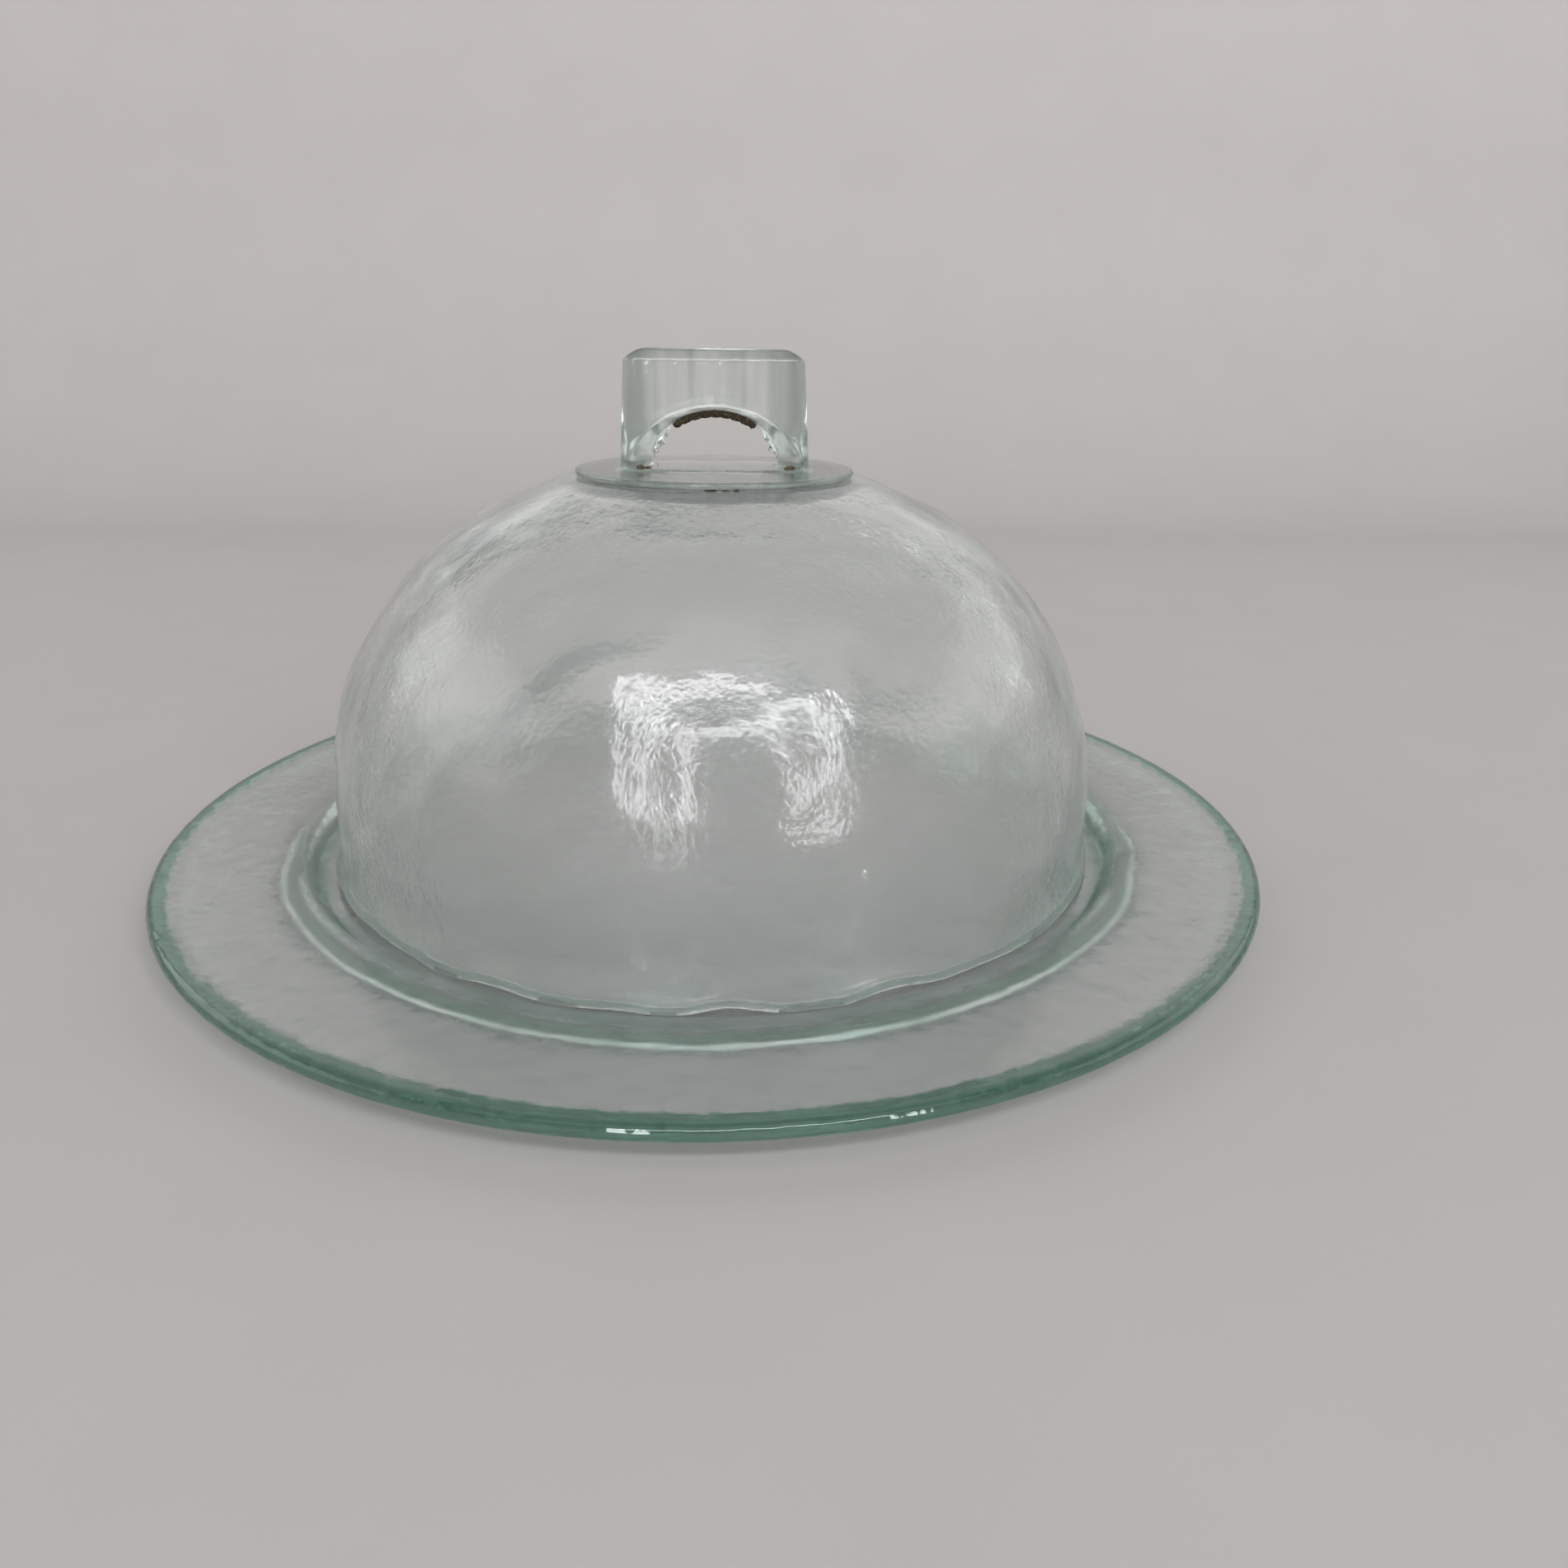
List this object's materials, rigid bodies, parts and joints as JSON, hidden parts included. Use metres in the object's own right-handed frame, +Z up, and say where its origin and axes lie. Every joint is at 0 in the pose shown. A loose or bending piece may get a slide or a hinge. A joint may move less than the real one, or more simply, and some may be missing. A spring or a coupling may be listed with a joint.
{
  "type": "cake dome",
  "caption": "Hand-pressed green-tinted glass cake dome: a lift-off bell with an arched slab handle, standing in the well of a wide round plate with a fire-polished edge.",
  "frame": {"origin": "on the table, under the centre of the plate", "axes": "+Z up along the dome's lift direction, +X along the width of the handle's slab, +Y through its finger hole"},
  "size_m": [0.32, 0.32, 0.1458],
  "materials": {
    "clear_glass": "pressed soda-lime glass, green tint, fire-polished",
    "pebbled_glass": "pressed soda-lime glass, green tint, pebbled and gently hammered",
    "clear_film": "clear cured adhesive film",
    "mould_residue": "brown mould scale and dust, dry, with small glints"
  },
  "bodies": {
    "plate": {"plate": "clear_glass"},
    "dome": {"dome": "pebbled_glass", "handle_bond": "clear_film", "handle": "clear_glass"}
  },
  "joints": [
    {"name": "dome_lift", "type": "slide", "parent": "plate", "child": "dome", "axis": [0, 0, 1], "range_m": [0, 0.25]}
  ]
}
